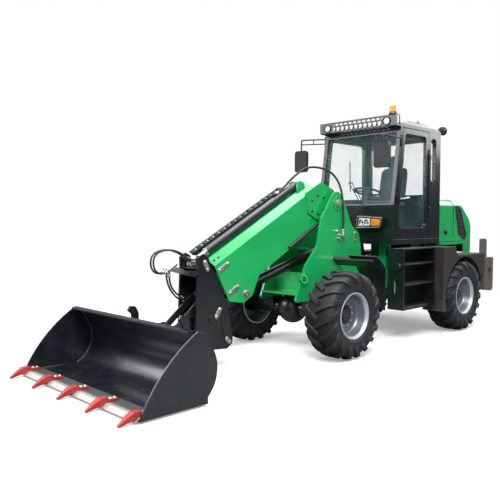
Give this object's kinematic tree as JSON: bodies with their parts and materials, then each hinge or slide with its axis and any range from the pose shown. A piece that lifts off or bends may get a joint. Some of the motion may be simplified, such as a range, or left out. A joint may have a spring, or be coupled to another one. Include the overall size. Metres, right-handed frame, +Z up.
{
  "type": "wheel loader",
  "caption": "Articulated wheel loader with a telescopic boom, toothed bucket on a quick coupler, glazed cab and rear engine hood.",
  "frame": {"origin": "middle of the footprint on the ground", "axes": "+X forward towards the bucket, +Y to the operator's left, +Z up"},
  "size_m": [7.2101, 2.23, 3.245],
  "materials": {
    "green_paint": "gloss",
    "black_paint": "satin",
    "grey_paint": "satin",
    "rod_chrome": "polished",
    "edge_steel": "satin",
    "tooth_red": "satin",
    "tyre_rubber": "matte",
    "rim_silver": "satin",
    "clear_glass": "clear",
    "lamp_clear": "gloss",
    "lamp_red": "gloss",
    "beacon_amber": "gloss",
    "engine_iron": "cast",
    "seat_fabric": "woven",
    "black_plastic": "matte",
    "hose_rubber": "satin"
  },
  "bodies": {
    "rear_frame": {"rear_frame": "green_paint", "rear_axle": "black_paint", "side_steps": "black_paint", "rear_fenders": "grey_paint", "counterweight": "grey_paint", "engine_block": "engine_iron", "cab_floor": "grey_paint", "cab_front": "grey_paint", "cab_right": "grey_paint", "cab_left": "grey_paint", "cab_rear": "grey_paint", "cab_roof": "grey_paint", "cab_glass": "clear_glass", "roof_visor": "black_paint", "lamps": "lamp_clear", "beacon": "beacon_amber", "mirrors": "black_paint", "operator_seat": "seat_fabric", "cab_controls": "black_plastic"},
    "front_frame": {"front_frame": "green_paint", "front_axle": "black_paint", "front_fenders": "black_paint", "boom_hose": "hose_rubber"},
    "boom": {"boom_outer": "green_paint", "extension_barrel": "black_paint", "boom_lines": "black_plastic"},
    "inner_boom": {"boom_head": "black_paint", "extension_rod": "rod_chrome", "hose_couplers": "edge_steel", "loop_hose_left": "hose_rubber", "loop_hose_right": "hose_rubber", "drop_hose_left": "hose_rubber", "drop_hose_right": "hose_rubber"},
    "rocker": {"rocker": "black_paint"},
    "tilt_link": {"tilt_link": "black_paint"},
    "tilt_barrel": {"tilt_barrel": "black_paint"},
    "tilt_rod": {"tilt_rod": "rod_chrome"},
    "lift_barrel": {"lift_barrel": "black_paint"},
    "lift_rod": {"lift_rod": "rod_chrome"},
    "bucket": {"quick_coupler": "black_paint", "bucket_shell": "black_paint", "cutting_edge": "edge_steel", "bucket_teeth": "tooth_red"},
    "steer_barrel": {"steer_barrel": "black_paint"},
    "steer_rod": {"steer_rod": "rod_chrome"},
    "door": {"cab_door": "grey_paint", "door_glass": "clear_glass"},
    "hood": {"hood": "green_paint", "hood_grilles": "black_plastic", "exhaust": "black_paint", "tail_lamps": "lamp_red"},
    "wheel_front_left": {"tyre_front_left": "tyre_rubber", "rim_front_left": "rim_silver"},
    "wheel_front_right": {"tyre_front_right": "tyre_rubber", "rim_front_right": "rim_silver"},
    "wheel_rear_left": {"tyre_rear_left": "tyre_rubber", "rim_rear_left": "rim_silver"},
    "wheel_rear_right": {"tyre_rear_right": "tyre_rubber", "rim_rear_right": "rim_silver"}
  },
  "joints": [
    {"name": "steer", "type": "hinge", "parent": "rear_frame", "child": "front_frame", "pos_m": [-1.08509, 0, 0.7], "axis": [0, 0, 1], "range_deg": [-35, 35]},
    {"name": "steer_barrel_swing", "type": "hinge", "parent": "rear_frame", "child": "steer_barrel", "pos_m": [-1.86509, 0.18, 0.76], "axis": [0, 0, 1], "range_deg": [-8.85, 8.85]},
    {"name": "steer_rod_slide", "type": "slide", "parent": "steer_barrel", "child": "steer_rod", "axis": [0.9994, 0.0346, 0], "range_m": [-0.1277, 0.1277]},
    {"name": "wheel_front_left_spin", "type": "hinge", "parent": "front_frame", "child": "wheel_front_left", "pos_m": [0.31491, 0.81, 0.53], "axis": [0, 1, 0], "continuous": true},
    {"name": "wheel_front_right_spin", "type": "hinge", "parent": "front_frame", "child": "wheel_front_right", "pos_m": [0.31491, -0.81, 0.53], "axis": [0, 1, 0], "continuous": true},
    {"name": "wheel_rear_left_spin", "type": "hinge", "parent": "rear_frame", "child": "wheel_rear_left", "pos_m": [-2.48509, 0.81, 0.53], "axis": [0, 1, 0], "continuous": true},
    {"name": "wheel_rear_right_spin", "type": "hinge", "parent": "rear_frame", "child": "wheel_rear_right", "pos_m": [-2.48509, -0.81, 0.53], "axis": [0, 1, 0], "continuous": true},
    {"name": "boom_lift", "type": "hinge", "parent": "front_frame", "child": "boom", "pos_m": [-0.20509, 0, 1.89], "axis": [0, -1, 0], "range_deg": [0, 70], "deforming": ["boom_hose"]},
    {"name": "boom_extend", "type": "slide", "parent": "boom", "child": "inner_boom", "axis": [0.8829, 0, -0.4696], "range_m": [0, 1]},
    {"name": "lift_barrel_swing", "type": "hinge", "parent": "front_frame", "child": "lift_barrel", "pos_m": [-0.16509, 0, 1.25], "axis": [0, -1, 0], "range_deg": [-1, 66.08]},
    {"name": "lift_rod_slide", "type": "slide", "parent": "lift_barrel", "child": "lift_rod", "axis": [0.9617, 0, -0.2739], "range_m": [-0.005, 0.72223]},
    {"name": "bucket_tilt", "type": "hinge", "parent": "inner_boom", "child": "bucket", "pos_m": [2.26509, 0, 0.25], "axis": [0, 1, 0], "range_deg": [-40, 105]},
    {"name": "rocker_swing", "type": "hinge", "parent": "inner_boom", "child": "rocker", "pos_m": [1.85713, 0, 0.57118], "axis": [0, 1, 0], "range_deg": [-41, 106]},
    {"name": "tilt_link_swing", "type": "hinge", "parent": "rocker", "child": "tilt_link", "pos_m": [1.88205, 0, 0.82998], "axis": [0, 1, 0], "range_deg": [-106, 41]},
    {"name": "tilt_barrel_swing", "type": "hinge", "parent": "inner_boom", "child": "tilt_barrel", "pos_m": [0.83841, 0, 1.40296], "axis": [0, 1, 0], "range_deg": [-0.28, 0.74]},
    {"name": "tilt_rod_slide", "type": "slide", "parent": "tilt_barrel", "child": "tilt_rod", "axis": [0.8766, 0, -0.4813], "range_m": [-0.14171, 0.36386]},
    {"name": "door_open", "type": "hinge", "parent": "rear_frame", "child": "door", "pos_m": [-1.93709, 0.666, 2.2], "axis": [0, 0, 1], "range_deg": [0, 95]},
    {"name": "hood_open", "type": "hinge", "parent": "rear_frame", "child": "hood", "pos_m": [-2.38009, 0, 1.93], "axis": [0, 1, 0], "range_deg": [0, 50]}
  ],
  "couplings": [
    {"joint": "steer_barrel_swing", "follows": "steer", "ratio": 0.22438},
    {"joint": "steer_rod_slide", "follows": "steer", "m_per_rad": -0.20087},
    {"joint": "lift_barrel_swing", "follows": "boom_lift", "ratio": 0.92974},
    {"joint": "lift_rod_slide", "follows": "boom_lift", "m_per_rad": 0.58706},
    {"joint": "rocker_swing", "follows": "bucket_tilt", "ratio": 1},
    {"joint": "tilt_link_swing", "follows": "bucket_tilt", "ratio": -1},
    {"joint": "tilt_barrel_swing", "follows": "bucket_tilt", "ratio": 0.005858},
    {"joint": "tilt_rod_slide", "follows": "bucket_tilt", "m_per_rad": 0.19582}
  ]
}
